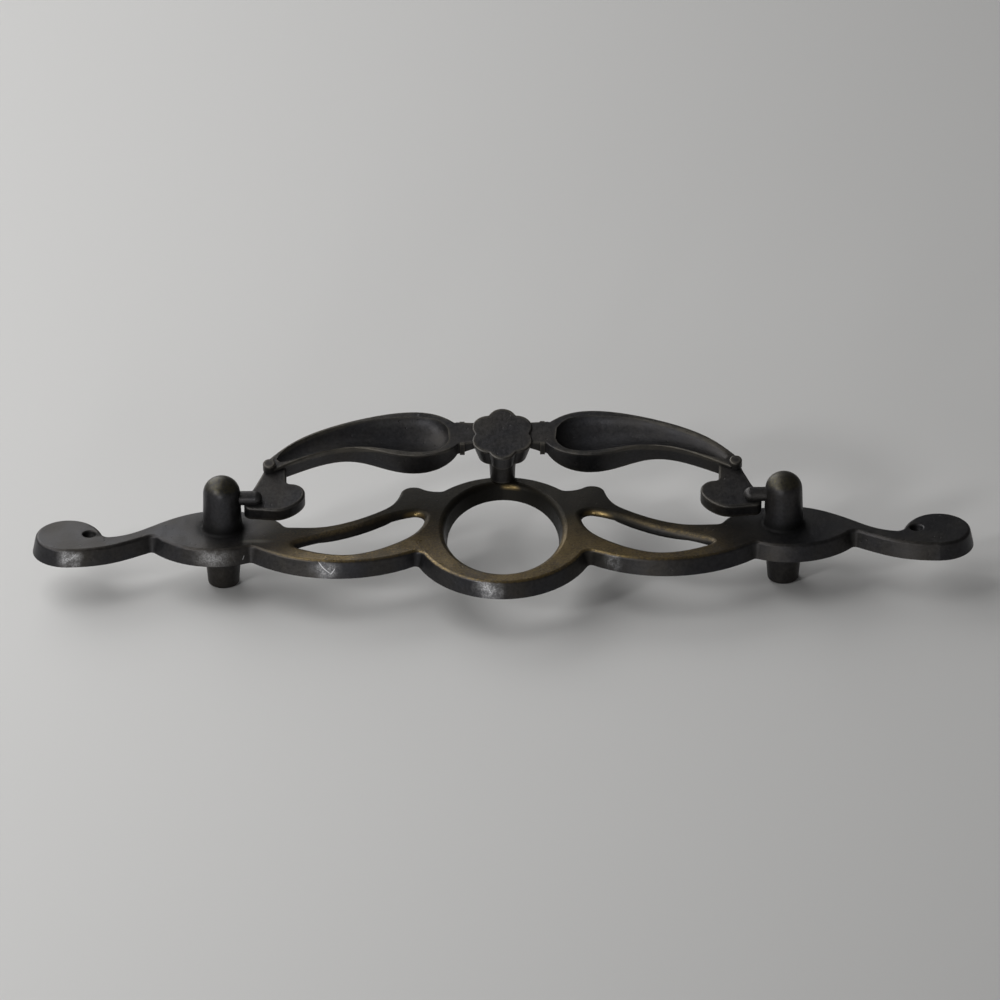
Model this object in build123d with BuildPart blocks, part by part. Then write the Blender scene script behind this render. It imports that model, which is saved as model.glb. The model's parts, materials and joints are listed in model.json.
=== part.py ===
from build123d import *
import os
from math import atan2, cos, degrees, radians, sin, sqrt, tan

# A cast bail pull for a drawer, in millimetres.
# Z = 0 is the back face of the plate, which lies on the drawer front. +Z points out of the drawer,
# X runs along the pull through both screws, and the bail hangs towards +Y.

# Back plate
screw_spacing = 101.6  # four inches between the fixing screws
plate_thickness = 3.2
wall_draft = 12.0  # degrees that each cast wall leans
plate_edge_round = 0.6
valley_round = 1.5  # where two scrolls of the outline meet
ring_width = 32.0
ring_length = 39.2
ring_middle = -1.15  # the ring stands a little to the near side of the screws
ring_side_band = 5.2  # metal between the hole and the ring's sides
ring_end_band = 3.0  # metal between the hole and the ring's near and far ends
hole_shift = 0.45  # towards the far side
opening_round = 1.1  # front edges of the hole and the slots
crescent_middle = 27.0  # from the middle of the pull to the deepest point of a crescent
crescent_depth = 12.7
crescent_band = 3.1  # metal left between a crescent's slot and its near edge
wing_reach = 18.5
wing_height = 13.0
wing_side_reach = 22.3  # steepest part of a wing's outer edge
wing_side_height = 6.0
wing_tip_width = 3.9
wing_tip_rise = 1.2
wing_root_inset = 18.0  # lowest part of a wing, measured back from a screw
wing_root_height = 0.3
ring_near_corner = -22.0  # degrees round the ring to the valley beside a crescent
ring_far_corner = 47.0  # degrees round the ring to the valley beside a wing
crescent_end_inset = 5.3  # valley between a crescent and its pad, from the screw
crescent_end_depth = 6.4
pad_depth = 8.1  # near edge of the pad that carries a post
pad_reach = 2.2
pad_end_inset = 11.2  # inner end of the pad, where it meets the wing
pad_end_height = 0.2
pad_far_inset = 5.2
pad_far_height = 5.6
shoulder_height = 6.4  # far edge of the plate beside a post
shoulder_reach = 3.4
tail_root_reach = 12.4  # waist between the pad and the tail
tail_root_depth = 2.2
tail_waist_height = 1.5
tail_near_share = 0.7  # where the tail's near edge turns into the volute
tail_near_depth = 6.3
tail_reach = 28.0  # from a screw to the middle of its volute
volute_radius = 5.7
volute_drop = 2.2
volute_turn = 225.0
curl_reach = 21.6  # corner between a volute and its tail
curl_depth = 2.9
eye_inset = 2.4  # dimple at the inner end of the scroll, measured from that corner
eye_rise = 1.0
eye_radius = 1.2
eye_round = 0.3
slot_inner_inset = 2.0  # inner end of a crescent slot, measured in from the ring's side
slot_inner_height = 3.6
slot_far_inset = 5.7  # far edge of the slot, measured in from the wing's steep side
slot_far_drop = 0.2
slot_side_gap = 4.0  # near edge of the slot where it runs beside the ring
slot_side_depth = 6.0
slot_waist_gap = 3.7  # far edge of the slot at its middle, measured from the wing's steep side
slot_waist_drop = 5.8
slot_point_inset = 12.4  # blunt outer end of the slot, measured back from a screw
slot_point_depth = 6.2
slot_point_round = 0.5
web_thickness = 1.3  # metal left at the front where the crescents are hollow behind
shell_wall = 1.2  # outer wall left round a hollow
ring_wall = 2.4  # wall left between a hollow and the ring's hole
hollow_inset = 9.6  # end of a hollow, measured back from a screw
near_wall = 2.6  # extra wall left on the near side of a hollow

# Posts on the front and bosses on the back
post_base_diameter = 7.2
post_top_diameter = 6.5
post_height = 10.3
post_dome = 3.1  # radius of the rounded top
post_root_round = 0.5
boss_length = 8.0
boss_base_diameter = 7.0
boss_tip_diameter = 5.6
boss_tip_round = 0.5
screw_hole_diameter = 3.45  # drilled for a number 8-32 thread
screw_hole_depth = 12.5
drill_point = 31.0  # degrees that the bottom of the drilled hole slopes

# Pivot
pin_height = 6.1  # pin axis above the front face of the plate
pin_diameter = 2.6
pin_clearance = 0.05
pin_grip = 2.6  # length of pin inside a post
pin_end_play = 0.4

# Bail
rest_angle = 18.0  # degrees that the bail stands off the plate at rest
rest_gap = 0.08
arm_start = 8.4  # from the middle to the root of a leaf
arm_root = 15.85  # how far the root of a leaf lies from the pin axis
arm_crest = 16.05
arm_crest_share = 0.52  # of the way from the middle to the end of a leaf
arm_end_inset = 8.5  # from a screw back to the end of a leaf
arm_end_drop = 7.8
leaf_width = 10.7
leaf_root_width = 5.5
leaf_tip_width = 2.6
leaf_thickness = 5.7
leaf_root_thickness = 3.3
leaf_tip_thickness = 3.6
leaf_fullest = 0.15  # share of its length at which the leaf is fullest
leaf_thick_until = 0.3  # share of its length at which the leaf starts to thin
leaf_belly = 0.12  # share of its thickness by which the back bulges
leaf_draft = 0.35
rim_round = 0.25
near_rim = 0.65
far_rim = 1.1
scoop_depth = 3.0
scoop_start = 0.03  # shares of the leaf's length
scoop_end = 0.95
scoop_rounding = 0.12  # share of the scoop's length that each rounded end takes
neck_width = 5.1
neck_thickness = 1.6  # where it meets the rosette
neck_flat = 4.8  # from the middle to where the neck starts to thicken
collar_middle = 7.3
collar_length = 0.9
collar_rise = 0.3
nub_diameter = 2.3
nub_rise = 0.9
nub_edge_round = 0.3
lobe_length = 9.0
lobe_width = 6.1
lobe_inset = 10.5  # from a screw back to the middle of a lobe
lobe_rise = 1.1
lobe_step = 0.8  # face of the lobe below the face of the leaves
lobe_tilt = 8.0
lobe_thickness = 2.7
lobe_edge_round = 0.35
lobe_corner_round = 0.7
knuckle_near = 1.9
knuckle_far = 1.9
knuckle_round = 1.3
pin_bump = 2.0  # how far the pin runs over the face of the lobe
stem_root_share = 0.92  # where the stem's inner edge leaves the leaf
stem_waist_reach = 2.3  # outer edge of the stem, beyond the end of the leaf
stem_waist_drop = 4.4
rosette_middle = 15.3
rosette_lobes = 6
rosette_half_width = 5.9  # the oval through the tips of the lobes, along the pull
rosette_half_length = 6.4
rosette_notch_share = 0.84  # how deep the notches between the lobes go
rosette_notch_round = 0.5
rosette_depth = 4.2
rosette_foot_share = 0.8  # size of the flower's underside
rosette_rise = 0.3
rosette_edge_round = 0.25
peg_root_diameter = 5.2
peg_tip_diameter = 4.0

post_x = screw_spacing / 2
pin_z = plate_thickness + pin_height
draft_run = plate_thickness * tan(radians(wall_draft))
hole_reach = ring_width / 2 - ring_side_band
hole_half_length = ring_length / 2 - ring_end_band
pin_radius = pin_diameter / 2
post_side = post_x - post_base_diameter / 2
knuckle_end = post_side - pin_end_play


def push(x, y, heading, distance):
    """A point of the outline, moved out along its heading in degrees."""
    return (x + distance * cos(radians(heading)), y + distance * sin(radians(heading)))


def on_ring(angle, grow):
    """A point on the outside of the ring, which is drawn larger by grow."""
    across = (ring_width / 2 + grow) * cos(radians(angle))
    along = (ring_length / 2 + grow) * sin(radians(angle))
    return (across, ring_middle + along)


def plate_outline(height, grow):
    """The scrolled outline at one height, larger by grow where the draft has carried the wall out."""
    ring_near = on_ring(ring_near_corner, grow)
    ring_far = on_ring(ring_far_corner, grow)
    crescent_end = push(post_x - crescent_end_inset, -crescent_end_depth, -90, 1.2 * grow)
    tail_root = push(post_x + tail_root_reach, -tail_root_depth, -75, 1.3 * grow)
    pad_end = push(post_x - pad_end_inset, pad_end_height, 135, 1.4 * grow)
    curl = push(post_x + curl_reach, -curl_depth, 120, 1.2 * grow)
    volute_middle = (post_x + tail_reach, -volute_drop)
    with BuildSketch(Plane.XY.offset(height)) as outline:
        with BuildLine():
            ring_axes = (ring_width / 2 + grow, ring_length / 2 + grow)
            EllipticalCenterArc((0, ring_middle), *ring_axes, start_angle=-90, arc_size=90 + ring_near_corner)
            ThreePointArc(ring_near, push(crescent_middle, -crescent_depth, -90, grow), crescent_end)
            ThreePointArc(crescent_end, push(post_x + pad_reach, -pad_depth, -90, grow), tail_root)
            volute = CenterArc(volute_middle, volute_radius + grow, start_angle=-90, arc_size=volute_turn)
            tail_near = push(post_x + tail_near_share * tail_reach, -tail_near_depth, -110, grow)
            Spline(tail_root, tail_near, volute @ 0, tangents=((0.85, -0.5), (1, 0)))
            tail_far = push(post_x + tail_root_reach, tail_waist_height, 60, grow)
            shoulder = push(post_x + shoulder_reach, shoulder_height, 80, grow)
            pad_far = push(post_x - pad_far_inset, pad_far_height, 110, grow)
            TangentArc(volute @ 1, curl, tangent=volute % 1)
            Spline(curl, tail_far, shoulder, pad_far, pad_end, tangents=((-1, 0.05), (-0.35, -1)))
            wing_low = push(post_x - wing_root_inset, wing_root_height, 95, grow)
            wing_side = push(wing_side_reach, wing_side_height, 35, grow)
            wing_top = push(wing_reach, wing_height, 10, grow)
            wing = Spline(pad_end, wing_low, wing_side, wing_top, tangents=((-1, 0), (-0.2, 1)))
            tip_end = push(wing_reach - wing_tip_width, wing_height + wing_tip_rise, 100, grow)
            tip = TangentArc(wing @ 1, tip_end, tangent=wing % 1)
            Spline(tip @ 1, ring_far, tangents=(tip % 1, (-1, 0.1)))
            far_turn = 90 - ring_far_corner
            EllipticalCenterArc((0, ring_middle), *ring_axes, start_angle=ring_far_corner, arc_size=far_turn)
            mirror(about=Plane.YZ)
        make_face()
        valleys = [ring_near, crescent_end, tail_root, curl, pad_end, ring_far]
        spots = [Vector(valley) for valley in valleys]
        spots += [Vector(-spot.X, spot.Y) for spot in spots]
        corners = [min(outline.vertices(), key=lambda v: abs(v.X - s.X) + abs(v.Y - s.Y)) for s in spots]
        fillet(corners, valley_round - grow)
    return outline.sketch


def slot_outline(height, grow):
    """One crescent slot: a rounded inner end, a swelling middle and a blunt outer point."""
    inner_low = push(ring_width / 2 - slot_inner_inset, slot_inner_height, 190, grow)
    inner_far = push(wing_side_reach - slot_far_inset, wing_side_height - slot_far_drop, 60, grow)
    point = push(post_x - slot_point_inset, -slot_point_depth, 10, grow)
    with BuildSketch(Plane.XY.offset(height)) as slot:
        with BuildLine():
            far_middle = push(wing_side_reach + slot_waist_gap, wing_side_height - slot_waist_drop, 65, grow)
            far_edge = Spline(point, far_middle, inner_far, tangents=((-0.8, 0.55), (-0.9, 0.25)))
            inner_end = TangentArc(far_edge @ 1, inner_low, tangent=far_edge % 1)
            near_low = push(crescent_middle, -crescent_depth + crescent_band, -90, grow)
            near_side = push(ring_width / 2 + slot_side_gap, -slot_side_depth, 215, grow)
            Spline(inner_low, near_side, near_low, point, tangents=(inner_end % 1, (0.85, 0.5)))
        make_face()
        outer_corner = slot.vertices().sort_by(Axis.X)[-1]
        fillet(outer_corner, slot_point_round + (grow + draft_run) / 2)
    return slot.sketch


with BuildPart() as back_plate:
    loft(sections=[plate_outline(0, draft_run), plate_outline(plate_thickness, 0)], ruled=True)
    fillet(back_plate.faces().sort_by(Axis.Z)[-1].edges(), plate_edge_round)
    # The ring's oval hole and the two slots widen towards the front with the same draft.
    with BuildSketch() as hole_back:
        with Locations((0, ring_middle + hole_shift)):
            Ellipse(hole_reach - draft_run, hole_half_length - draft_run)
    with BuildSketch(Plane.XY.offset(plate_thickness)) as hole_front:
        with Locations((0, ring_middle + hole_shift)):
            Ellipse(hole_reach, hole_half_length)
    loft(ruled=True, mode=Mode.SUBTRACT)
    slot_walls = [slot_outline(0, -draft_run), slot_outline(plate_thickness, 0)]
    loft(sections=slot_walls, ruled=True, mode=Mode.SUBTRACT)
    mirrored_walls = [mirror(wall, about=Plane.YZ, mode=Mode.PRIVATE) for wall in slot_walls]
    loft(sections=mirrored_walls, ruled=True, mode=Mode.SUBTRACT)
    front_face = back_plate.faces().filter_by(Axis.Z).sort_by(Axis.Z)[-1]
    fillet([edge for wire in front_face.inner_wires() for edge in wire.edges()], opening_round)
    # A dimple marks the eye of each scroll.
    eye_x = post_x + curl_reach + eye_inset
    eyes = [(side * eye_x, eye_rise - curl_depth, plate_thickness) for side in (-1, 1)]
    with Locations(*eyes):
        Sphere(eye_radius, mode=Mode.SUBTRACT)
    front_face = back_plate.faces().filter_by(Axis.Z).sort_by(Axis.Z)[-1]
    eye_rims = [edge for edge in front_face.edges().filter_by(GeomType.CIRCLE) if edge.is_closed]
    fillet(eye_rims, eye_round)
    # The crescents and wings are hollow behind, which leaves a thin web round each slot.
    with BuildSketch() as hollow:
        inside = plate_outline(0, draft_run - shell_wall)
        add(inside)
        add(inside.moved(Location((0, near_wall, 0))), mode=Mode.INTERSECT)
        with Locations((0, ring_middle)):
            Ellipse(hole_reach + ring_wall, ring_length, mode=Mode.SUBTRACT)
        with Locations((-post_x, 0), (post_x, 0)):
            Circle(hollow_inset, mode=Mode.SUBTRACT)
        Rectangle(2 * post_x, 2 * ring_length, mode=Mode.INTERSECT)
    extrude(amount=plate_thickness - web_thickness, mode=Mode.SUBTRACT)
    # Each post and its boss are turned about the line of the screw.
    for side in (-1, 1):
        with BuildSketch(Plane((side * post_x, 0, 0), x_dir=(1, 0, 0), z_dir=(0, -1, 0))):
            with BuildLine():
                root = post_base_diameter / 2
                crown = post_top_diameter / 2
                top = plate_thickness + post_height
                Polyline((0, plate_thickness / 2), (root, plate_thickness / 2), (root, plate_thickness),
                         (crown, top), (0, top), close=True)
            make_face()
        with BuildSketch(Plane((side * post_x, 0, 0), x_dir=(1, 0, 0), z_dir=(0, -1, 0))):
            with BuildLine():
                tip = boss_tip_diameter / 2
                Polyline((0, plate_thickness / 2), (boss_base_diameter / 2, plate_thickness / 2),
                         (boss_base_diameter / 2, 0), (tip, -boss_length), (0, -boss_length), close=True)
            make_face()
        revolve(axis=Axis((side * post_x, 0, 0), (0, 0, 1)))
    levels = back_plate.faces().filter_by(Axis.Z).group_by(Axis.Z)
    post_roots = [edge for edge in levels[-2].edges().filter_by(GeomType.CIRCLE) if edge.is_closed]
    fillet(post_roots, post_root_round)
    levels = back_plate.faces().filter_by(Axis.Z).group_by(Axis.Z)
    fillet(levels[-1].edges(), post_dome)
    fillet(levels[0].edges(), boss_tip_round)
    for side in (-1, 1):
        with BuildSketch(Plane((side * post_x, 0, -boss_length), x_dir=(1, 0, 0), z_dir=(0, -1, 0))):
            with BuildLine():
                drill = screw_hole_diameter / 2
                point_height = screw_hole_depth + drill * tan(radians(drill_point))
                Polyline((0, 0), (drill, 0), (drill, screw_hole_depth), (0, point_height), close=True)
            make_face()
        revolve(axis=Axis((side * post_x, 0, 0), (0, 0, 1)), mode=Mode.SUBTRACT)
        # A blind hole in the inner side of the post takes the bail's pin.
        with BuildSketch(Plane((side * knuckle_end, 0, pin_z), x_dir=(0, 1, 0), z_dir=(side, 0, 0))):
            Circle(pin_radius + pin_clearance)
        extrude(amount=2 * pin_end_play + pin_grip, mode=Mode.SUBTRACT)

back_plate.part.label = "back_plate"

rest_turn = radians(rest_angle)
bail_plane = Plane((0, 0, pin_z), x_dir=(1, 0, 0), z_dir=(0, -sin(rest_turn), cos(rest_turn)))
arm_end = post_x - arm_end_inset
arm_path = Spline((arm_start, arm_root), (arm_crest_share * arm_end, arm_crest), (arm_end, arm_end_drop),
                  tangents=((1, -0.15), (0.7, -0.71)))


def across(x, reach, heading):
    """A plane square to the bail: its first axis points away from the pins, its second out of the face."""
    along = Vector(1, 0, 0).rotate(Axis.Z, heading)
    origin = bail_plane.from_local_coords((x, reach, 0))
    ahead = bail_plane.from_local_coords((x + along.X, reach + along.Y, 0)) - origin
    return Plane(origin, x_dir=bail_plane.z_dir.cross(ahead), z_dir=ahead)


def path_plane(share):
    """The plane square to a leaf at a share of its length."""
    spot = arm_path @ share
    slope = arm_path % share
    return across(spot.X, spot.Y, degrees(atan2(slope.Y, slope.X)))


def swell(share, root, tip, until):
    """One at the fullest part of the leaf, rounded up from the root and tapering evenly past until."""
    if share < leaf_fullest:
        return root + (1 - root) * sin(radians(90 * share / leaf_fullest))
    return 1 - (1 - tip) * max(0, share - until) / (1 - until)


def leaf_width_at(share):
    return leaf_width * swell(share, leaf_root_width / leaf_width, leaf_tip_width / leaf_width, leaf_fullest)


def leaf_section(share):
    """A flat-faced section with rounded rims, drafted sides and a slightly bellied back."""
    side = leaf_width_at(share) / 2
    root = leaf_root_thickness / leaf_thickness
    thickness = leaf_thickness * swell(share, root, leaf_tip_thickness / leaf_thickness, leaf_thick_until)
    back = -thickness
    belly = leaf_belly * thickness
    with BuildSketch(path_plane(share)) as section:
        with BuildLine():
            Line((rim_round - side, 0), (side - rim_round, 0))
            RadiusArc((side - rim_round, 0), (side, -rim_round), rim_round)
            Line((side, -rim_round), (side - leaf_draft, back + belly))
            ThreePointArc((side - leaf_draft, back + belly), (0, back), (leaf_draft - side, back + belly))
            Line((leaf_draft - side, back + belly), (-side, -rim_round))
            RadiusArc((-side, -rim_round), (rim_round - side, 0), rim_round)
        make_face()
    return section.sketch


def scoop_section(share):
    """A dished section that stands proud of the face, to be cut from the leaf. Its ends are rounded."""
    end_share = min(share, 1 - share, scoop_rounding) / scoop_rounding
    fullness = sqrt(1 - (1 - end_share) ** 2)
    leaf_share = scoop_start + (scoop_end - scoop_start) * share
    width = leaf_width_at(leaf_share)
    size = width / leaf_width
    middle = size * (near_rim - far_rim) / 2
    side = size * fullness * (leaf_width - near_rim - far_rim) / 2
    depth = size * fullness * scoop_depth
    with BuildSketch(path_plane(leaf_share)) as section:
        with BuildLine():
            ThreePointArc((middle - side, 0), (middle, -depth), (middle + side, 0))
            ThreePointArc((middle + side, 0), (middle, depth / 2), (middle - side, 0))
        make_face()
    return section.sketch


def on_rosette(turn, share):
    """A point of the bail's face on the rosette's oval, drawn smaller by a share."""
    across_face = share * rosette_half_width * cos(radians(turn))
    return across_face, rosette_middle + share * rosette_half_length * sin(radians(turn))


def rosette_outline(depth, share):
    """The lobed flower at a depth under its face, drawn smaller by a share."""
    lobe_turn = 360 / rosette_lobes
    notch = share * rosette_notch_share
    with BuildSketch(bail_plane.offset(rosette_rise - depth)) as flower:
        with BuildLine():
            for lobe in range(rosette_lobes):
                tip = 90 + lobe_turn * lobe
                start = on_rosette(tip - lobe_turn / 2, notch)
                stop = on_rosette(tip + lobe_turn / 2, notch)
                ThreePointArc(start, on_rosette(tip, share), stop)
        make_face()
        fillet(flower.vertices(), share * rosette_notch_round)
    return flower.sketch


def neck_section(x, width, thickness):
    """A rounded section of the neck, level with the face of the leaves."""
    with BuildSketch(across(x, arm_root, 0)) as section:
        with Locations((0, -thickness / 2)):
            RectangleRounded(width, thickness, rim_round)
    return section.sketch


with BuildPart() as bail:
    # The flat comma-shaped end: a lobe towards the middle, a knuckle beside the post and a stem to the leaf.
    with BuildSketch(bail_plane.offset(-lobe_step)) as end_outline:
        lobe_middle = post_x - lobe_inset
        lobe_lean = lobe_length / 2 * tan(radians(lobe_tilt))
        with BuildLine():
            leaf_end = path_plane(1)
            outer_side = leaf_tip_width / 2 - rim_round
            outer_root = bail_plane.to_local_coords(leaf_end.from_local_coords((outer_side, 0)))
            stem_root = path_plane(stem_root_share)
            inner_side = rim_round - leaf_width_at(stem_root_share) / 2
            inner_root = bail_plane.to_local_coords(stem_root.from_local_coords((inner_side, 0)))
            stem_waist = (arm_end + stem_waist_reach, stem_waist_drop)
            stem_outer = Spline((outer_root.X, outer_root.Y), stem_waist, (knuckle_end, knuckle_far),
                                tangents=((0.2, -1), (1, -0.2)))
            knuckle = Line(stem_outer @ 1, (knuckle_end, -knuckle_near))
            lobe_low = (lobe_middle - lobe_length / 8, lobe_rise - lobe_width / 2)
            lobe_tip = (lobe_middle - lobe_length / 2, lobe_rise + lobe_lean)
            valley = (lobe_middle - lobe_length / 8, lobe_rise + lobe_width / 2 + lobe_lean / 4)
            lobe = Spline(knuckle @ 1, lobe_low, lobe_tip, valley, tangents=((-1, 0), (1, -0.1)))
            stem_inner = Line(lobe @ 1, (inner_root.X, inner_root.Y))
            Line(stem_inner @ 1, stem_outer @ 0)
        make_face()
        corners = [end_outline.vertices().sort_by_distance(line @ 1)[0] for line in (stem_outer, lobe)]
        fillet(corners, lobe_corner_round)
        fillet(end_outline.vertices().sort_by_distance(knuckle @ 1)[0], knuckle_round)
    extrude(amount=-lobe_thickness)
    end_face = bail.faces().sort_by(Axis(bail_plane.origin, bail_plane.z_dir))[-1]
    fillet(end_face.edges().sort_by(Axis(bail_plane.origin, bail_plane.y_dir))[:-1], lobe_edge_round)
    loft(sections=[leaf_section(share) for share in (0, leaf_fullest / 2, leaf_fullest, 0.45, 0.75, 1)])
    scoop_shares = (0.01, 0.06, 0.16, 0.45, 0.75, 0.93, 0.99)
    loft(sections=[scoop_section(share) for share in scoop_shares], mode=Mode.SUBTRACT)
    # A round nub stands on the end of the leaf, above the step down to the flat lobe.
    with BuildSketch(bail_plane.offset(-lobe_step)):
        with Locations((arm_end, arm_end_drop)):
            Circle(nub_diameter / 2)
    extrude(amount=lobe_step + nub_rise)
    nub_top = bail.faces().sort_by(Axis(bail_plane.origin, bail_plane.z_dir))[-1]
    fillet(nub_top.edges(), nub_edge_round)
    # The pin starts as a round-ended bump on the face of the lobe.
    pin_start = knuckle_end - pin_bump
    pin_end = post_side + pin_grip
    with BuildSketch(Plane((pin_start, 0, pin_z), x_dir=(0, 1, 0), z_dir=(1, 0, 0))):
        Circle(pin_radius)
    extrude(amount=pin_end - pin_start)
    with Locations((pin_start, 0, pin_z)):
        Sphere(pin_radius)
    # A flat neck with a small collar carries the rosette.
    neck_root = leaf_root_thickness - collar_rise
    neck = [neck_section(0, neck_width, neck_thickness), neck_section(neck_flat, neck_width, neck_thickness),
            neck_section(arm_start, leaf_root_width, neck_root)]
    loft(sections=neck, ruled=True)
    collar_start = collar_middle - collar_length / 2
    extrude(neck_section(collar_start, leaf_root_width + collar_rise, neck_root), amount=collar_length)
    mirror(about=Plane.YZ)
    # The rosette is a shallow cup that narrows towards its back.
    loft(sections=[rosette_outline(0, 1), rosette_outline(rosette_depth, rosette_foot_share)], ruled=True)
    rosette_face = bail.faces().filter_by(Axis(bail_plane.origin, bail_plane.z_dir)).sort_by(SortBy.AREA)[-1]
    fillet(rosette_face.edges(), rosette_edge_round)
    # Under the rosette a tapered peg lands on the far side of the ring.
    with BuildSketch(across(0, rosette_middle, 90)) as peg_profile:
        with BuildLine():
            Polyline((0, -rosette_depth / 2), (peg_root_diameter / 2, -rosette_depth / 2),
                     (peg_tip_diameter / 2, -2 * pin_z), (0, -2 * pin_z), close=True)
        make_face()
    revolve(axis=Axis(bail_plane.from_local_coords((0, rosette_middle, 0)), bail_plane.z_dir))
    # The end of the peg is flat on the ring, so everything under the rest gap goes.
    split(bisect_by=Plane.XY.offset(plate_thickness + rest_gap), keep=Keep.TOP)

bail.part.label = "bail"

os.makedirs("parts", exist_ok=True)
export_step(back_plate.part, "parts/back_plate.step")
export_step(bail.part, "parts/bail.step")
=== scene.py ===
# %% [markdown]
# A cast bail pull for a drawer
#
# The pull is two castings of brass with a dark antique finish: a pierced scroll plate with two posts, and
# a bail that swings on pins in those posts. The solids arrive from the CAD model, in metres, with the
# back of the plate at Z = 0, the length along X and the bail hanging towards +Y. This lesson gives them
# their finish, cuts the screw threads in the bosses, closes the roots of the leaves, and sets up the
# floor, the light and the camera. What the record already knows, such as the screws and the hinge, is
# read from the frame.

# %% Load the frame
import json
from math import cos, radians, sin

import bpy
import numpy as np
from mathutils import Matrix, Vector


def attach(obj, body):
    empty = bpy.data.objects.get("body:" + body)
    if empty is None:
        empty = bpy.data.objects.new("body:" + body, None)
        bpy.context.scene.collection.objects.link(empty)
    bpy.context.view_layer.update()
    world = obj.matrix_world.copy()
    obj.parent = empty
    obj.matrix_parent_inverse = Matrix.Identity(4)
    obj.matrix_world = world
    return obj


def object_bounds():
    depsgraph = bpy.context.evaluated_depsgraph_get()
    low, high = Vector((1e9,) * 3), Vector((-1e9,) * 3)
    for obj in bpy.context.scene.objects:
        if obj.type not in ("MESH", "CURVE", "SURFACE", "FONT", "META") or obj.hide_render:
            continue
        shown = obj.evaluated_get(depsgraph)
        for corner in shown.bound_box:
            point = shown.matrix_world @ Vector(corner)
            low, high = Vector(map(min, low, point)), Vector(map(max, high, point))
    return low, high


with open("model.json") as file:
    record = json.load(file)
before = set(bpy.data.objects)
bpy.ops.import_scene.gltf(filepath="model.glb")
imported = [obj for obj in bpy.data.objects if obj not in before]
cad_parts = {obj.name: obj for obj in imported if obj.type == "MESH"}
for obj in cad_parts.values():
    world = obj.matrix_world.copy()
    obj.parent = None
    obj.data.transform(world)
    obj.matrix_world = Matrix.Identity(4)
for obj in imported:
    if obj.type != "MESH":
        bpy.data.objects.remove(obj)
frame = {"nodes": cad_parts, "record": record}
cad_box = [list(corner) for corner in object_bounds()]
plate = frame["nodes"]["back_plate"]
bail = frame["nodes"]["bail"]
MM = 0.001
mounts = {mount["name"]: mount for mount in frame["record"]["mounts"]}
screws = mounts["screw_holes"]["dims"]
SCREW_X = screws["spacing_x_mm"] / 2 * MM
HOLE_RADIUS = screws["hole_r_mm"] * MM
PIN_LEVEL = frame["record"]["behaviour"]["joints"][0]["pos_m"][2]
print("CAD box in mm:", [[round(v / MM, 2) for v in corner] for corner in cad_box])

# %% [markdown]
# Helpers for shader nodes
#
# Every finish below is a small graph of shader nodes. Written out in full, each node takes three or four
# lines, so a few helpers keep the cells short: they add one node, fill in its values and give back its
# result.

# %% Helpers for one node
def fill(tree, made, inputs):
    """Gives a node its inputs: a socket is linked, and anything else becomes the input's own value."""
    for name, value in inputs.items():
        by_place = name[0] == "i" and name[1:].isdigit()
        socket = made.inputs[int(name[1:]) if by_place else name.replace("_", " ")]
        if isinstance(value, bpy.types.NodeSocket):
            tree.links.new(value, socket)
        else:
            socket.default_value = value


def add(tree, kind, settings=None, **inputs):
    """Adds one shader node. Settings are its properties, and i0 names the input at place 0."""
    made = tree.nodes.new("ShaderNode" + kind)
    for name, value in (settings or {}).items():
        setattr(made, name, value)
    fill(tree, made, inputs)
    return made


def calc(tree, operation, a, b=0.0, clamp=False):
    """One Math node; the result is its output socket."""
    return add(tree, "Math", {"operation": operation, "use_clamp": clamp}, i0=a, i1=b).outputs[0]


def ramp(tree, value, low, high, to_low=0.0, to_high=1.0):
    """A smooth step: to_low where the value is under low, to_high where it is over high."""
    limits = {"From_Min": low, "From_Max": high, "To_Min": to_low, "To_Max": to_high}
    made = add(tree, "MapRange", {"interpolation_type": "SMOOTHSTEP"}, Value=value, **limits)
    return made.outputs[0]


def blend_colors(tree, share, first, second):
    """First colour where the share is 0, second where it is 1."""
    return add(tree, "Mix", {"data_type": "RGBA"}, i0=share, i6=first, i7=second).outputs[2]


def noise(tree, place, scale, detail=3.0, roughness=0.55):
    """Noise of about 0 to 1, with its features one over scale metres apart."""
    made = add(tree, "TexNoise", Vector=place, Scale=scale, Detail=detail, Roughness=roughness)
    return made.outputs["Fac"]


print("helpers for one node: fill, add, calc, ramp, blend_colors, noise")

# %% [markdown]
# Helpers for chains of nodes
#
# Wear and dirt are masks: several conditions multiplied together, the greatest of several spots, or a
# distance from a middle. Each of these is a chain of Math nodes, so each gets a helper of its own.

# %% Helpers for chains
def product(tree, first, *others):
    """The product of the values, as a chain of Math nodes."""
    for other in others:
        first = calc(tree, "MULTIPLY", first, other)
    return first


def greatest(tree, first, *others):
    """The greatest of the values, as a chain of Math nodes."""
    for other in others:
        first = calc(tree, "MAXIMUM", first, other)
    return first


def weigh(tree, value, factor, offset):
    """The value times a factor, plus an offset."""
    return calc(tree, "ADD", calc(tree, "MULTIPLY", value, factor), offset)


def distance(tree, *terms):
    """How far a place lies from a middle: the root of the summed squares of (value - middle) / size."""
    squares = 0.0
    for value, middle, size in terms:
        step = calc(tree, "DIVIDE", calc(tree, "SUBTRACT", value, middle), size)
        squares = calc(tree, "ADD", calc(tree, "MULTIPLY", step, step), squares)
    return calc(tree, "SQRT", squares)


def find_place(tree):
    """The Object coordinates of a point on the surface, whole and as X, Y and Z."""
    spot = add(tree, "TexCoord").outputs["Object"]
    return spot, add(tree, "SeparateXYZ", Vector=spot).outputs


print("helpers for chains: product, greatest, weigh, distance, find_place")

# %% [markdown]
# Helpers for node groups
#
# An effect that is used more than once is a node group with named sockets. It is built once and placed
# wherever a finish needs it, with its own values, which is easier to follow than copies of its nodes.

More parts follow.
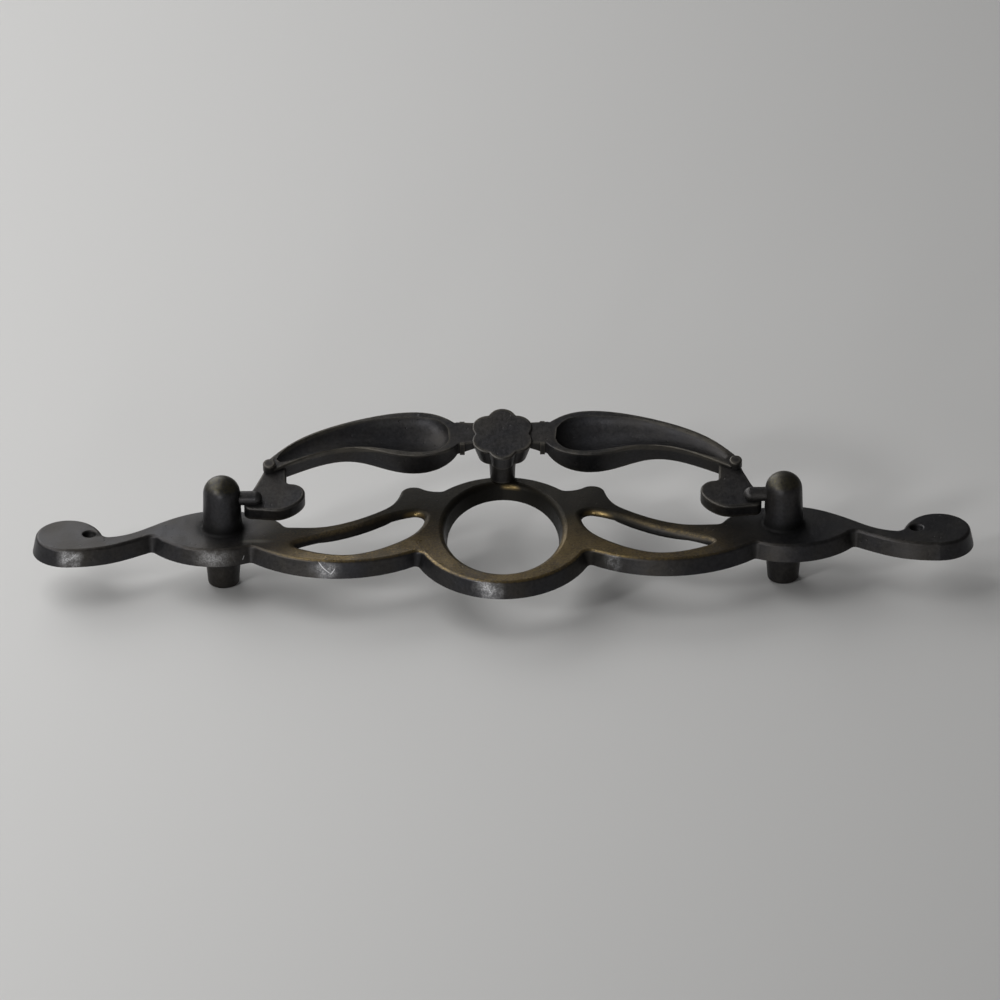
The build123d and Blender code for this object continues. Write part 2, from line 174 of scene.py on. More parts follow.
# %% Helpers for groups
def new_group(name, inputs, outputs):
    """A node group with float inputs (name: default) and outputs (name: kind), and its two end nodes."""
    group = bpy.data.node_groups.new(name, "ShaderNodeTree")
    for socket, default in inputs.items():
        made = group.interface.new_socket(socket, in_out="INPUT", socket_type="NodeSocketFloat")
        made.default_value = default
    for socket, kind in outputs.items():
        group.interface.new_socket(socket, in_out="OUTPUT", socket_type="NodeSocket" + kind)
    return group, group.nodes.new("NodeGroupInput").outputs, group.nodes.new("NodeGroupOutput").inputs


def place_group(tree, group, **inputs):
    """Puts a group into a material and returns its outputs."""
    return add(tree, "Group", {"node_tree": group}, **inputs).outputs


print("helpers for groups: new_group, place_group")

# %% [markdown]
# The cast skin
#
# Sand-cast brass is never quite flat. It has a slow waviness from the pattern and a fine grain from the
# sand, with a pit here and there. Displacing the mesh would need millions of faces for a grain of a third
# of a millimetre, so the group gives a height in metres for a Bump node. The pits are the middles of some
# of the cells of a Voronoi texture, chosen by each cell's own random colour.

# %% Cast skin
PIT_SCALE = 900.0
PIT_DEPTH = 0.04 * MM
skin_group, get, put = new_group(
    "cast_skin",
    {"Grain Scale": 2600.0, "Grain Depth": 0.02 * MM, "Wave Scale": 240.0, "Wave Depth": 0.12 * MM,
     "Pit Share": 0.3},
    {"Height": "Float"},
)
tree = skin_group
spot = add(tree, "TexCoord").outputs["Object"]
grain = calc(tree, "MULTIPLY", noise(tree, spot, get["Grain Scale"], detail=2.0), get["Grain Depth"])
wave = calc(tree, "MULTIPLY", noise(tree, spot, get["Wave Scale"], detail=1.0), get["Wave Depth"])
cells = add(tree, "TexVoronoi", Vector=spot, Scale=PIT_SCALE).outputs
pit_shape = ramp(tree, cells["Distance"], 0.08, 0.2, 1.0, 0.0)
cell_draw = add(tree, "SeparateColor", Color=cells["Color"]).outputs[0]
chosen = calc(tree, "LESS_THAN", cell_draw, get["Pit Share"])
pit_drop = product(tree, pit_shape, chosen, -PIT_DEPTH)
tree.links.new(calc(tree, "ADD", calc(tree, "ADD", grain, wave), pit_drop), put["Height"])
print("cast skin:", len(tree.nodes), "nodes")

# %% [markdown]
# The worn edge, and a painted highlight
#
# Hands and dusters rub the dark finish off convex edges first; on the bail the lighter rims are partly a
# painted highlight as well. Ambient occlusion turned inwards finds them: a ray sent into the metal leaves
# it again soon near an edge, and not in the middle of a face. Noise breaks the line up, because real wear
# is patchy.

# %% Worn edge
edge_group, get, put = new_group(
    "edge_wear_and_sheen",
    {"Width": 0.9 * MM, "Breakup Scale": 700.0, "Breakup": 0.5},
    {"Mask": "Float"},
)
tree = edge_group
spot = add(tree, "TexCoord").outputs["Object"]
inside_only = {"inside": True, "only_local": True, "samples": 8}
inward = add(tree, "AmbientOcclusion", inside_only, Distance=get["Width"]).outputs["AO"]
convex = ramp(tree, inward, 0.55, 0.95, 1.0, 0.0)
gaps = ramp(tree, noise(tree, spot, get["Breakup Scale"], detail=4.0, roughness=0.65), 0.35, 0.65, 1.0, 0.0)
kept = calc(tree, "SUBTRACT", 1.0, calc(tree, "MULTIPLY", get["Breakup"], gaps))
tree.links.new(calc(tree, "MULTIPLY", convex, kept), put["Mask"])
print("worn edge:", len(tree.nodes), "nodes")

# %% [markdown]
# Sheltered corners: dirt and painted shade
#
# The corners are painted darker, partly for dirt and old wax that stay where a cloth can't reach, and
# partly as painted shade: round the feet of the posts, in the scoops of the leaves and where the rosette
# meets its peg. Ambient occlusion in its usual outward sense gives those places, because near a corner
# most rays that leave the surface soon meet metal again. It looks at the casting alone, so the dark
# stays where it is when the bail swings.

# %% Sheltered corners
shelter_group, get, put = new_group(
    "dirt_and_shade_corner",
    {"Reach": 4.0 * MM, "Open": 0.95, "Closed": 0.45},
    {"Mask": "Float"},
)
tree = shelter_group
own_metal = {"only_local": True, "samples": 8}
# dirt and painted shade: the casting is painted darker where it shelters a point
outward = add(tree, "AmbientOcclusion", own_metal, Distance=get["Reach"]).outputs["AO"]
span = calc(tree, "SUBTRACT", get["Open"], get["Closed"])
depth = calc(tree, "DIVIDE", calc(tree, "SUBTRACT", get["Open"], outward), span, clamp=True)
tree.links.new(depth, put["Mask"])
print("sheltered corner:", len(tree.nodes), "nodes")

# %% [markdown]
# Rubbed patches and painted highlights
#
# Where the rim of the plate bulges furthest towards the hand, soft oval patches of bare metal lie on the
# near walls: partly the finish rubbed through, and partly a painted highlight where the front lamps mirror
# in the walls. Each patch is a smooth spot round a place on the wall: the distance from its middle,
# measured in widths along X and in heights along Z, is turned into a mask. Fine noise breaks it into the
# sparkle of a rubbed casting, and a limit in Y keeps it off the walls further back.

# %% Rubbed patches
patch_group, get, put = new_group(
    "rubbed_and_highlight_patch",
    {"Middle": 0.0, "Width": 3.0 * MM, "Height": 1.9 * MM, "Level": 1.6 * MM, "Nearer Than": 0.0},
    {"Mask": "Float"},
)
tree = patch_group
spot, axes = find_place(tree)
from_middle = distance(
    tree, (axes["X"], get["Middle"], get["Width"]), (axes["Z"], get["Level"], get["Height"])
)
oval = ramp(tree, from_middle, 0.0, 1.35, 1.0, 0.0)
uneven = ramp(tree, noise(tree, spot, 620.0, detail=2.0, roughness=0.6), 0.36, 0.62, 0.25, 1.0)
sparkle = ramp(tree, noise(tree, spot, 3900.0, detail=3.0, roughness=0.7), 0.36, 0.66, 0.35, 1.0)
nearer = calc(tree, "LESS_THAN", axes["Y"], get["Nearer Than"])
tree.links.new(product(tree, oval, uneven, sparkle, nearer), put["Mask"])
print("rubbed patch:", len(tree.nodes), "nodes")

# %% [markdown]
# Scratches
#
# A few fine scratches cross the rim of the left crescent, pad and scroll. A scratch is a thin line on the
# wall, so its mask needs two distances from its middle: one across the line, which is small, and one
# along it. Both come from turning the place on the wall, X and Z, by the scratch's lean. A share of the
# squared length is taken off the first, which bends the line a little.

# %% Scratches
SCRATCH_BEND = 90.0
scratch_group, get, put = new_group(
    "scratch",
    {"Middle": 0.0, "Level": 1.6 * MM, "Lean": 0.8, "Length": 2.0 * MM, "Thickness": 0.1 * MM,
     "Nearer Than": 0.0},
    {"Mask": "Float"},
)
tree = scratch_group
axes = find_place(tree)[1]
aside = calc(tree, "SUBTRACT", axes["X"], get["Middle"])
upward = calc(tree, "SUBTRACT", axes["Z"], get["Level"])
lean_cos = calc(tree, "COSINE", get["Lean"])
lean_sin = calc(tree, "SINE", get["Lean"])
along = calc(tree, "ADD", product(tree, aside, lean_cos), product(tree, upward, lean_sin))
across = calc(tree, "SUBTRACT", product(tree, upward, lean_cos), product(tree, aside, lean_sin))
bent = calc(tree, "SUBTRACT", across, product(tree, along, along, SCRATCH_BEND))
off_line = calc(tree, "DIVIDE", calc(tree, "ABSOLUTE", bent), get["Thickness"])
off_end = calc(tree, "DIVIDE", calc(tree, "ABSOLUTE", along), get["Length"])
on_line = ramp(tree, off_line, 0.3, 1.0, 1.0, 0.0)
between_ends = ramp(tree, off_end, 0.3, 0.5, 1.0, 0.0)
nearer = calc(tree, "LESS_THAN", axes["Y"], get["Nearer Than"])
tree.links.new(product(tree, on_line, between_ends, nearer), put["Mask"])
print("scratch:", len(tree.nodes), "nodes")

# %% [markdown]
# The dark patina
#
# The finish is a thin dark oxide, slate with some brown in it. It could be a painted image, but that needs
# an unwrapped mesh, and noise needs none. A slow noise mixes the cool and the warm tone, and a fine one
# puts flecks in it. Both also move the roughness a little, so that highlights break up.

# %% Dark patina
SLATE = (0.032, 0.032, 0.035, 1.0)
UMBER = (0.052, 0.044, 0.031, 1.0)
patina_group, get, put = new_group(
    "dark_patina",
    {"Cloud Scale": 90.0, "Fleck Scale": 1500.0, "Warmth": 0.4, "Level": 1.0},
    {"Color": "Color", "Roughness": "Float"},
)
tree = patina_group
spot = add(tree, "TexCoord").outputs["Object"]
cloud = noise(tree, spot, get["Cloud Scale"], detail=4.0, roughness=0.6)
fleck = noise(tree, spot, get["Fleck Scale"], detail=3.0, roughness=0.7)
warm_share = calc(tree, "MULTIPLY", ramp(tree, cloud, 0.3, 0.75), get["Warmth"])
tone = blend_colors(tree, warm_share, SLATE, UMBER)
shade = calc(tree, "MULTIPLY", get["Level"], ramp(tree, fleck, 0.2, 0.8, 0.78, 1.22))
scaled = add(tree, "VectorMath", {"operation": "SCALE"}, i0=tone, Scale=shade)
tree.links.new(scaled.outputs[0], put["Color"])
both = calc(tree, "ADD", calc(tree, "MULTIPLY", cloud, 0.5), calc(tree, "MULTIPLY", fleck, 0.5))
tree.links.new(ramp(tree, both, 0.3, 0.7, 0.36, 0.52), put["Roughness"])
print("dark patina:", len(tree.nodes), "nodes")

# %% [markdown]
# Starting a finish
#
# A finish is a material whose graph ends in one Principled shader. Both castings are metal under a thin
# oxide, so they share a Metallic a little under 1, set on the shader itself because it is the same all
# over. The cast skin reaches the shader through a Bump node, whose distance of 1 takes the height as real
# metres.

# %% Start a finish
METAL = 0.9


def new_finish(name):
    """A material with an empty Principled shader, and the graph it belongs to."""
    made = bpy.data.materials.new(name)
    made.use_nodes = True
    made.node_tree.nodes.clear()
    shader = add(made.node_tree, "BsdfPrincipled")
    output = add(made.node_tree, "OutputMaterial")
    made.node_tree.links.new(shader.outputs[0], output.inputs["Surface"])
    return made, made.node_tree, shader


def dress(casting, finish, shader, color, roughness, height):
    """Links the colour, roughness and height to a finish's shader, and gives the finish to a casting."""
    bump = add(finish.node_tree, "Bump", Height=height, Distance=1.0, Strength=1.0)
    look = {"Base Color": color, "Roughness": roughness, "Metallic": METAL, "Normal": bump.outputs[0]}
    fill(finish.node_tree, shader, look)
    casting.data.materials.clear()
    casting.data.materials.append(finish)
    print(finish.name + ":", len(finish.node_tree.nodes), "nodes")


print("a finish starts with new_finish and ends with dress")

# %% [markdown]
# The plate: where on it a point lies
#
# On the plate the wear depends on the place, so its finish starts with the things that place it: X, Y and
# Z from Object coordinates, the way the face looks, how far it lies from the middle, and a mottle of fine
# and coarse noise that breaks all the wear up. Painting by place needs no image and no unwrapped mesh.

# %% Plate: places
FULL_WEAR, END_OF_WEAR = 30.0 * MM, 49.0 * MM
plate_finish, tree, shader = new_finish("bronze_plate_wear_and_painted_light")
spot, axes = find_place(tree)
faces = add(tree, "SeparateXYZ", Vector=add(tree, "TexCoord").outputs["Normal"]).outputs
skin = place_group(tree, skin_group)
patina = place_group(tree, patina_group, Warmth=0.45, Level=1.25)
edge = place_group(tree, edge_group)["Mask"]
away = calc(tree, "ABSOLUTE", axes["X"])
middle = ramp(tree, away, FULL_WEAR, END_OF_WEAR, 1.0, 0.0)
top_face = ramp(tree, faces["Z"], 0.35, 0.85)
upper = ramp(tree, axes["Z"], 1.8 * MM, 2.6 * MM)
speckle = noise(tree, spot, 1900.0, detail=3.0, roughness=0.75)
cloud = noise(tree, spot, 130.0, detail=3.0, roughness=0.6)
mottle = calc(tree, "ADD", calc(tree, "MULTIPLY", speckle, 0.6), calc(tree, "MULTIPLY", cloud, 0.4))
broken = ramp(tree, mottle, 0.40, 0.60)
print("the wear of the plate ends", round(END_OF_WEAR / MM), "mm from its middle")

# %% [markdown]
# The plate: worn brass
#
# The dark finish has worn to an olive brass, most of all on the near side of the ring and of the two
# crescents, where fingers brush past. The wear fades towards the posts and the tails, and lies only on
# faces that look out of the drawer. Upper edges wear a little everywhere, and more where the faces beside
# them do.

# %% Plate: worn brass
near_side = ramp(tree, axes["Y"], -10.0 * MM, 7.0 * MM, 1.0, 0.07)
reach = product(tree, middle, near_side, top_face)
brass_share = product(tree, reach, weigh(tree, broken, 0.65, 0.25))
upturned = ramp(tree, faces["Z"], 0.25, 0.75)
edge_share = product(tree, edge, upper, upturned, weigh(tree, reach, 0.6, 0.14))
print("worn brass:", len(tree.nodes), "nodes so far")

# %% [markdown]
# The plate: painted glints on the far edges
#
# On the far side, the rounded front edges of the ring's hole and of the two slots carry a painted highlight
# in one short stretch each: brass colour, smoother and free of grime, where the glint of the front lamps
# falls. A stretch is a soft window along X. It is kept to the upper part of faces that turn towards the near
# side and are neither flat nor upright.

# %% Plate: glints
# painted highlight: brass colour where the glint of the front lamps falls
GLINTS = ((1.4, 2.2), (-16.1, 2.6), (17.2, 3.4))  # middle and half width along X, in mm
windows = 0.0
for place, width in GLINTS:
    from_glint = calc(tree, "ABSOLUTE", calc(tree, "SUBTRACT", axes["X"], place * MM))
    window = ramp(tree, calc(tree, "DIVIDE", from_glint, width * MM), 0.2, 1.0, 1.0, 0.0)
    windows = greatest(tree, windows, window)
further = ramp(tree, axes["Y"], 1.0 * MM, 3.0 * MM)
toward = ramp(tree, faces["Y"], -0.25, -0.05, 1.0, 0.0)
rounded = ramp(tree, faces["Z"], 0.35, 0.9, 1.0, 0.0)
glint = product(tree, windows, further, upper, toward, rounded)
# worn brass and edge wear, with the painted highlight of the glints
wear_and_sheen = greatest(tree, brass_share, edge_share, glint)
print("glints:", len(GLINTS))

# %% [markdown]
# The plate: the metal's colour
#
# The far side of the middle, under the bail, is painted darker: painted shade of the bail. Over it lies the
# worn brass with the painted glints, and the domes of the posts show a dull olive, partly wear and partly a
# painted reflection that lightens their tops.

# %% Plate: metal
BAIL_SHADE_PAINT = (0.014, 0.013, 0.010, 1.0)
OLIVE_BRASS = (0.205, 0.147, 0.062, 1.0)
DULL_OLIVE = (0.090, 0.080, 0.048, 1.0)
DOME_SHARE = 0.6
# painted shade: the far side of the middle, under the bail, is painted darker
far_dark = calc(tree, "MULTIPLY", middle, ramp(tree, axes["Y"], -6.0 * MM, 4.0 * MM, 0.0, 0.8))
patina_with_bail_shade = blend_colors(tree, far_dark, patina["Color"], BAIL_SHADE_PAINT)
metal = blend_colors(tree, wear_and_sheen, patina_with_bail_shade, OLIVE_BRASS)
# partly wear, partly a painted reflection: the olive tops of the post domes
dome = ramp(tree, axes["Z"], 11.3 * MM, 12.2 * MM)
cap = calc(tree, "MULTIPLY", dome, calc(tree, "ADD", broken, 0.25), clamp=True)
capped = blend_colors(tree, calc(tree, "MULTIPLY", cap, DOME_SHARE), metal, DULL_OLIVE)
print("metal of the plate:", len(tree.nodes), "nodes so far")

# %% [markdown]
# The plate: bare metal and painted highlights
#
# The patches, partly rubbed and partly painted highlight, and the scratches sit on the near walls, each
# placed along X. The near walls of the scrolls and pads lie closer to the line of the screws than those of
# the crescents and the ring, so each row also holds the Y that keeps it off the walls behind. Beside the
# left post a light smear crosses the pad.

# %% Plate: bare metal
BARE_METAL_AND_HIGHLIGHT = (0.58, 0.58, 0.59, 1.0)
BARE_AND_HIGHLIGHT_SHARE = 0.85  # at the middle of a patch of strength 1
PALE_SMEAR = (0.20, 0.19, 0.16, 1.0)
SCROLL_LIMIT, RING_LIMIT = -3.0, -9.0
# partly rubbed wear, partly painted highlight: bright patches of bare metal on the near walls
RUBBED_AND_HIGHLIGHT_PATCHES = (  # middle along X, width and limit in Y in mm, and strength
    (-78.1, 2.2, SCROLL_LIMIT, 1.2),
    (-52.2, 3.6, SCROLL_LIMIT, 0.55),
    (-32.1, 2.8, RING_LIMIT, 0.55),
    (-2.7, 2.6, RING_LIMIT, 1.2),
    (19.7, 1.6, RING_LIMIT, 0.6),
)
SCRATCHES = (  # middle along X and level in mm, lean in radians, length and limit in Y in mm
    (-32.3, 1.8, -0.75, 3.4, RING_LIMIT),
    (-30.7, 1.3, 0.9, 1.6, RING_LIMIT),
    (-77.6, 1.9, 0.7, 2.0, SCROLL_LIMIT),
    (-46.9, 1.2, 1.2, 0.9, SCROLL_LIMIT),
)
near_wall = ramp(tree, faces["Y"], -0.9, -0.5, 1.0, 0.0)
rubbed_and_highlight = 0.0
for place, width, limit, strength in RUBBED_AND_HIGHLIGHT_PATCHES:
    values = {"Middle": place * MM, "Width": width * MM, "Nearer_Than": limit * MM}
    patch = place_group(tree, patch_group, **values)["Mask"]
    rubbed_and_highlight = greatest(tree, rubbed_and_highlight, product(tree, patch, strength, near_wall))
for place, level, lean, length, limit in SCRATCHES:
    values = {"Middle": place * MM, "Level": level * MM, "Length": length * MM, "Nearer_Than": limit * MM}
    scratch = place_group(tree, scratch_group, Lean=lean, **values)["Mask"]
    rubbed_and_highlight = greatest(tree, rubbed_and_highlight, product(tree, scratch, near_wall))
# bare metal of the scratches, and of the patches that are partly painted highlight
bare_and_highlight = blend_colors(tree, calc(tree, "MULTIPLY", rubbed_and_highlight, BARE_AND_HIGHLIGHT_SHARE), capped, BARE_METAL_AND_HIGHLIGHT)
from_smear = distance(tree, (axes["X"], -44.4 * MM, 3.6 * MM), (axes["Y"], -5.1 * MM, 0.9 * MM))
smear = calc(tree, "MULTIPLY", ramp(tree, from_smear, 0.1, 1.1, 0.7, 0.0), top_face)
smeared = blend_colors(tree, smear, bare_and_highlight, PALE_SMEAR)
print("bare metal:", len(RUBBED_AND_HIGHLIGHT_PATCHES), "patches and", len(SCRATCHES), "scratches")

# %% [markdown]
# The plate: grime and painted shade, and its shader
#
# Near-black paint fills the sheltered corners, a ring round the foot of each post, and the eye of each
# scroll. In the corners it is partly grime and partly painted shade; the ring round each foot and the eye
# of each scroll are painted shade. It is rougher than the metal. Worn brass and the painted glints are
# smoother than the patina, and the painted shade under the bail is rougher. With that, colour, roughness
# and height are ready for the shader.

# %% Plate: grime and shader
GRIME_AND_SHADE = (0.011, 0.011, 0.011, 1.0)
GRIME_AND_SHADE_SHARE = 0.8
EYE_X, EYE_Y = 73.9 * MM, -2.0 * MM
# partly dirt, partly painted shade: the sheltered corners
corner = place_group(tree, shelter_group)["Mask"]
# painted shade: a dark ring round the foot of each post
from_post = distance(tree, (away, SCREW_X, 1.0), (axes["Y"], 0.0, 1.0))
foot = product(
    tree,
    ramp(tree, from_post, 3.6 * MM, 5.6 * MM, 1.0, 0.0),
    ramp(tree, axes["Z"], 3.8 * MM, 6.0 * MM, 1.0, 0.0),
    ramp(tree, axes["Z"], 2.6 * MM, 3.0 * MM),
)
# painted shade: the eye of each scroll is painted dark
from_eye = distance(tree, (away, EYE_X, 2.2 * MM), (axes["Y"], EYE_Y, 1.2 * MM))
eye = ramp(tree, from_eye, 0.2, 1.1, 0.8, 0.0)
no_glint = calc(tree, "SUBTRACT", 1.0, glint)
dirt_and_shade = product(tree, greatest(tree, corner, foot, eye), no_glint)
# near-black paint for grime and painted shade
color = blend_colors(tree, calc(tree, "MULTIPLY", dirt_and_shade, GRIME_AND_SHADE_SHARE), smeared, GRIME_AND_SHADE)
roughness = weigh(tree, wear_and_sheen, -0.14, patina["Roughness"])
roughness = weigh(tree, calc(tree, "SUBTRACT", far_dark, glint), 0.16, roughness)
roughness = weigh(tree, dirt_and_shade, 0.28, roughness)
dress(plate, plate_finish, shader, color, roughness, skin["Height"])

# %% [markdown]
# The finish of the bail
#
# The bail kept most of its dark finish. Only its thin rims are a little lighter, partly rubbed and partly a
# painted highlight, and a few pale specks lie on it. The groups of the plate serve again, with deeper grain,
# more pits, and dirt and painted shade that reach further out of the corners. The lighter rims stop short of
# the roots of the leaves, where a later cell adds a piece, so that no seam shows.

# %% Bail finish
RIM_WEAR_AND_HIGHLIGHT = (0.17, 0.155, 0.125, 1.0)
SCOOP_DIRT_AND_SHADE = (0.020, 0.020, 0.021, 1.0)
DIRT_AND_SHADE_SHARE = 0.6
PALE_SPECK = (0.12, 0.12, 0.12, 1.0)
ROOT_START, ROOT_STOP = 8.15 * MM, 9.05 * MM  # the root of a leaf, along X
ROOT_MIDDLE = (ROOT_START + ROOT_STOP) / 2
bail_finish, tree, shader = new_finish("dark_bronze_bail")
spot, axes = find_place(tree)
skin = place_group(tree, skin_group, Grain_Depth=0.025 * MM, Wave_Depth=0.10 * MM, Pit_Share=0.35)
patina = place_group(tree, patina_group, Warmth=0.35, Level=1.55)
edge = place_group(tree, edge_group, Breakup_Scale=500.0)["Mask"]
away = calc(tree, "ABSOLUTE", axes["X"])
from_root = calc(tree, "ABSOLUTE", calc(tree, "SUBTRACT", away, ROOT_MIDDLE))
# partly rubbing, partly a painted highlight along the rims
wear_and_sheen = calc(tree, "MULTIPLY", edge, ramp(tree, from_root, 0.6 * MM, 1.1 * MM, 0.0, 0.6))
metal = blend_colors(tree, wear_and_sheen, patina["Color"], RIM_WEAR_AND_HIGHLIGHT)
# dirt and painted shade in the corners and scoops
dirt_and_shade = place_group(tree, shelter_group, Reach=5.0 * MM)["Mask"]
with_dirt_and_shade = blend_colors(tree, calc(tree, "MULTIPLY", dirt_and_shade, DIRT_AND_SHADE_SHARE), metal, SCOOP_DIRT_AND_SHADE)
speck = ramp(tree, noise(tree, spot, 3200.0, detail=1.0, roughness=0.5), 0.74, 0.80, 0.0, 0.5)
color = blend_colors(tree, speck, with_dirt_and_shade, PALE_SPECK)
roughness = weigh(tree, dirt_and_shade, 0.22, patina["Roughness"])
dress(bail, bail_finish, shader, color, roughness, skin["Height"])

# %% [markdown]
# Closing a carried profile
#
# The small pieces that follow are profiles carried along a path, so each comes out as a grid of points:
# one row for each place on the path. One helper joins neighbouring points into quads, closes the two
# ends, turns the faces outwards and hands the piece to the body that it moves with. A closed shape with
# outward faces has a volume above 0, so the sign of the volume tells whether the faces have to be turned.

# %% A closed tube from a grid
def close_tube(name, grid, body, finish):
    """A closed mesh from rows of points: each row is a ring, and the first and last ring are end faces."""
    rows, sides = grid.shape[:2]
    row, side = np.meshgrid(np.arange(rows - 1), np.arange(sides), indexing="ij")
    here, beside = row * sides + side, row * sides + (side + 1) % sides
    quads = np.stack([here, beside, beside + sides, here + sides], -1).reshape(-1, 4)
    first = np.arange(sides)[::-1]
    last = np.arange(sides) + (rows - 1) * sides
    points = grid.reshape(-1, 3)
    a, b, c, d = (points[quads[:, corner]] for corner in range(4))
    volume = np.einsum("ij,ij->", a, np.cross(b, c) + np.cross(c, d))
    faces = quads.tolist() + [first.tolist(), last.tolist()]
    if volume < 0:
        faces = [face[::-1] for face in faces]
    mesh = bpy.data.meshes.new(name)
    mesh.from_pydata(points.tolist(), [], faces)
    mesh.materials.append(finish)
    made = bpy.data.objects.new(name, mesh)
    bpy.context.scene.collection.objects.link(made)
    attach(made, body)
    return made


print("close_tube is ready")

# %% [markdown]
# The screw threads
#
# The two bosses behind the plate are drilled and tapped, so that screws from inside the drawer can hold
# the pull. A tapped thread is a ridge that climbs the wall of the hole. It could be a screw modifier on a
# small profile, but as a profile carried along a helix it is one grid: each row is the ridge's section,
# turned a little further and lifted by its share of the pitch.

# %% Screw threads
RIDGE = 0.24 * MM
RIDGE_ROOT = 0.015 * MM  # how far the ridge starts inside the wall
PITCH = 0.794 * MM
THREAD_START, THREAD_STOP = -7.5 * MM, 3.9 * MM
STEPS_PER_TURN = 36


def thread_ridge(name, hole_x):
    """A ridge on a helix: angle t and height t / (2 pi) pitches, with two root and two crest points.

    The crest stands in from the wall by the ridge's height, which fades over the first and last half turn.
    """
    turns = (THREAD_STOP - THREAD_START) / PITCH
    t = np.linspace(0.0, 2 * np.pi * turns, int(turns * STEPS_PER_TURN) + 1)[:, None]
    fade = np.clip(np.minimum(t, t[-1] - t) / np.pi, 0.05, 1.0)
    inward = np.array([-RIDGE_ROOT, RIDGE, RIDGE, -RIDGE_ROOT])
    rise = np.array([-0.40, -0.07, 0.07, 0.40]) * PITCH
    radius = HOLE_RADIUS - np.where(inward > 0, inward * fade, inward)
    x = hole_x + radius * np.cos(t)
    y = radius * np.sin(t)
    z = THREAD_START + PITCH * t / (2 * np.pi) + rise * fade
    return close_tube(name, np.stack([x, y, z], -1), "plate", plate_finish)


threads = [thread_ridge("thread_left", -SCREW_X), thread_ridge("thread_right", SCREW_X)]
print("threads:", [len(made.data.polygons) for made in threads], "faces")

# %% [markdown]
# The roots of the leaves
#
# Each leaf leaves the neck at a slight angle, and on the casting the metal runs on round that corner
# without a break. The solid has a thin wedge of air there, on the far side, so a short bar of the neck's
# own section closes it. The bar is a profile carried along X: a rounded rectangle in the plane across the
# neck, which starts inside the neck and ends inside the leaf.

# %% Leaf roots
REST_TURN = radians(18.0)  # how far the bail stands off the plate at rest
ROOT_NEAR, ROOT_FAR = 15.7 * MM, 18.55 * MM
ROOT_FACE, ROOT_BACK = -0.03 * MM, -2.93 * MM
ROOT_ROUND = 0.25 * MM
POINTS_PER_CORNER = 6
ROOT_ROWS = 5


def leaf_root(name, side):
    """A rounded rectangle of reach and depth, repeated at evenly spaced places along X, closed at both ends.

    Its corners are quarter circles. Reach runs away from the pins in the face of the bail, depth runs out of
    that face, and both are turned about the pins by the angle at which the bail rests.
    """
    t = np.linspace(0.0, np.pi / 2, POINTS_PER_CORNER)
    turns = np.concatenate([t + quarter * np.pi / 2 for quarter in range(4)])
    far = np.repeat([ROOT_FAR, ROOT_NEAR, ROOT_NEAR, ROOT_FAR], POINTS_PER_CORNER)
    out = np.repeat([ROOT_FACE, ROOT_FACE, ROOT_BACK, ROOT_BACK], POINTS_PER_CORNER)
    inset = np.repeat([[-1, -1], [1, -1], [1, 1], [-1, 1]], POINTS_PER_CORNER, axis=0) * ROOT_ROUND
    reach = far + inset[:, 0] + ROOT_ROUND * np.cos(turns)
    depth = out + inset[:, 1] + ROOT_ROUND * np.sin(turns)
    along = side * np.linspace(ROOT_START, ROOT_STOP, ROOT_ROWS)[:, None]
    x = along + 0 * reach
    y = reach * np.cos(REST_TURN) - depth * np.sin(REST_TURN) + 0 * along
    z = PIN_LEVEL + reach * np.sin(REST_TURN) + depth * np.cos(REST_TURN) + 0 * along
    return close_tube(name, np.stack([x, y, z], -1), "handle", bail_finish)


roots = [leaf_root("leaf_root_left", -1), leaf_root("leaf_root_right", 1)]
print("leaf roots:", [len(made.data.polygons) for made in roots], "faces")

# %% [markdown]
# The floor
#
# The pull stands on the ends of its two bosses on a plain pale floor. One large square is enough: it runs
# past the picture on every side, and its matt paint keeps the soft shadow of the pull.

# %% Floor
FLOOR_HALF = 3.0
FLOOR_PAINT = (0.66, 0.655, 0.645, 1.0)
floor_level = cad_box[0][2]
ends = np.array([[-1, -1], [1, -1], [1, 1], [-1, 1]]) * FLOOR_HALF
floor_mesh = bpy.data.meshes.new("floor")
floor_mesh.from_pydata(np.insert(ends, 2, floor_level, axis=1).tolist(), [], [(0, 1, 2, 3)])
floor = bpy.data.objects.new("floor", floor_mesh)
bpy.context.scene.collection.objects.link(floor)
floor_paint, tree, shader = new_finish("pale_floor")
shader.inputs["Base Color"].default_value = FLOOR_PAINT
shader.inputs["Roughness"].default_value = 0.9
floor.data.materials.append(floor_paint)
print("floor at", round(floor_level / MM, 2), "mm")

# %% [markdown]
# The lamps
#
# Dark metal shows mostly what it mirrors, so one lamp overhead would leave it black. A wide lamp behind the
# pull and to the left is the window that the flat tops mirror, brighter on the left than on the right. A
# second wide one stands to the left and makes the light fall off across the picture. Two small ones in
# front, one of them low, give the highlights on the posts, on the near walls and inside the ring. A faint
# even world fills the shadows.

# %% Lamps
LAMPS = {  # turn and height in degrees, distance and size in metres, power in watts
    "window_lamp": (-152, 27, 0.58, 0.44, 1.15),
    "left_lamp": (-98, 48, 0.40, 0.45, 1.0),
    "low_lamp": (-16, 8, 0.60, 0.06, 0.5),
    "front_lamp": (-46, 27, 0.55, 0.07, 0.6),
}
ROOM_GREY = (0.80, 0.80, 0.80, 1.0)
ROOM_STRENGTH = 0.11


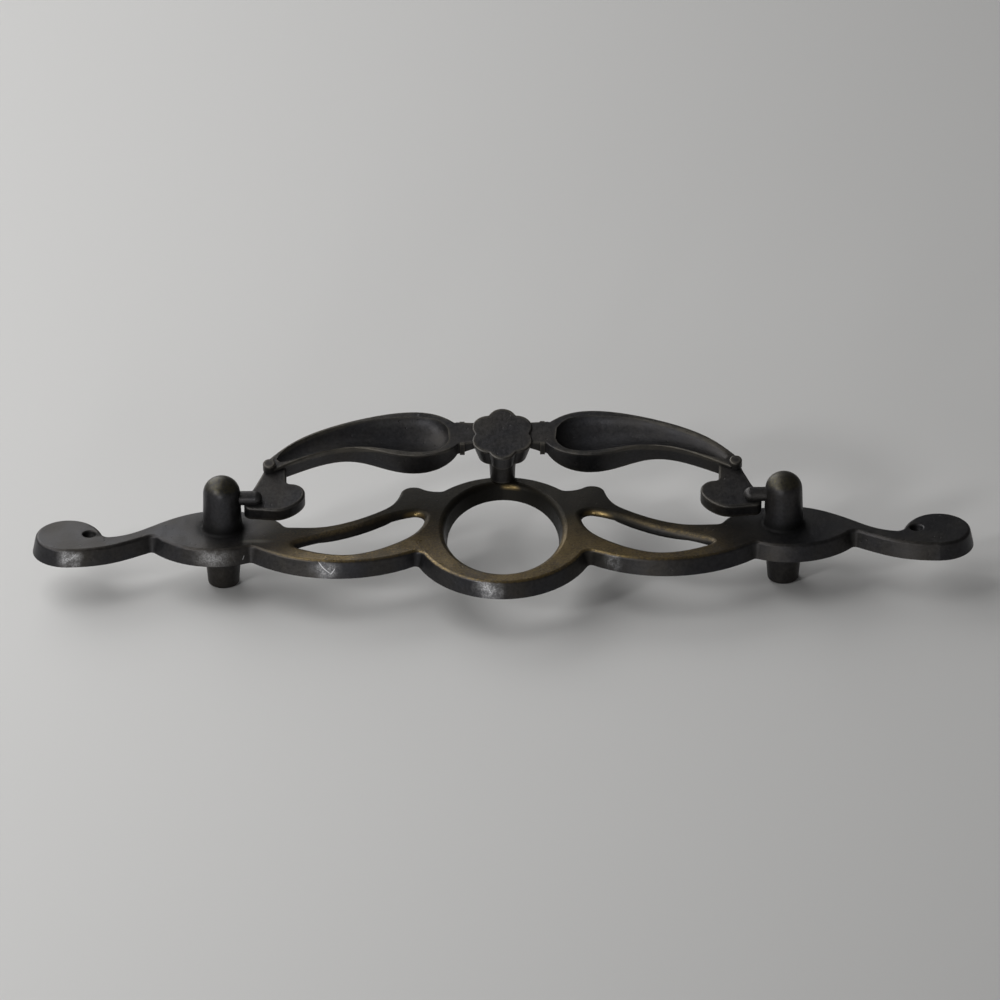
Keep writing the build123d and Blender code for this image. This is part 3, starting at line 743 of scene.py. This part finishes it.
def lamp(name, turn, height, distance_away, size, power):
    """A round lamp that looks at the pull. Turn and height are its angles, as seen from the pull."""
    data = bpy.data.lights.new(name, "AREA")
    data.shape = "DISK"
    data.size = size
    data.energy = power
    made = bpy.data.objects.new(name, data)
    bpy.context.scene.collection.objects.link(made)
    turn, height = radians(turn), radians(height)
    ray = Vector((sin(turn) * cos(height), -cos(turn) * cos(height), sin(height)))
    made.location = ray * distance_away
    made.rotation_euler = ray.to_track_quat("Z", "Y").to_euler()


for name, numbers in LAMPS.items():
    lamp(name, *numbers)
world = bpy.data.worlds.new("room")
bpy.context.scene.world = world
world.use_nodes = True
background = world.node_tree.nodes["Background"].inputs
background["Color"].default_value = ROOM_GREY
background["Strength"].default_value = ROOM_STRENGTH
print("lamps:", ", ".join(LAMPS))

# %% [markdown]
# The camera
#
# The photograph was taken from far away, 29 degrees above the plate, with a slight tilt to one side. The
# lens follows from the distance and from the real size of a pixel at the pull. The camera is then set off
# sideways so that the middle of the plate's front lands on the pixel where the photograph shows it. That
# keeps the lens free of any shift, so that other views stay centred.

# %% Camera
VIEW_HEIGHT = 29.0
VIEW_ROLL = -0.46
VIEW_DISTANCE = 1.63
PIXEL = 0.1811 * MM
IMAGE = 1000
SENSOR = 36.0
PLATE_TOP = Vector((0, 0, 3.2 * MM))
SEEN_AT = (503.0, 525.5)
camera_data = bpy.data.cameras.new("camera")
camera = bpy.data.objects.new("camera", camera_data)
bpy.context.scene.collection.objects.link(camera)
camera_data.sensor_width = SENSOR
camera_data.sensor_fit = "HORIZONTAL"
camera_data.lens = SENSOR * VIEW_DISTANCE / (IMAGE * PIXEL)
turn = Matrix.Rotation(radians(90 - VIEW_HEIGHT), 4, "X") @ Matrix.Rotation(radians(VIEW_ROLL), 4, "Z")
offset = Vector(((IMAGE / 2 - SEEN_AT[0]) * PIXEL, (SEEN_AT[1] - IMAGE / 2) * PIXEL, VIEW_DISTANCE))
camera.matrix_world = Matrix.Translation(PLATE_TOP + turn.to_3x3() @ offset) @ turn
bpy.context.scene.camera = camera
bpy.context.scene.view_settings.view_transform = "Standard"
print("lens", round(camera_data.lens, 1), "mm")
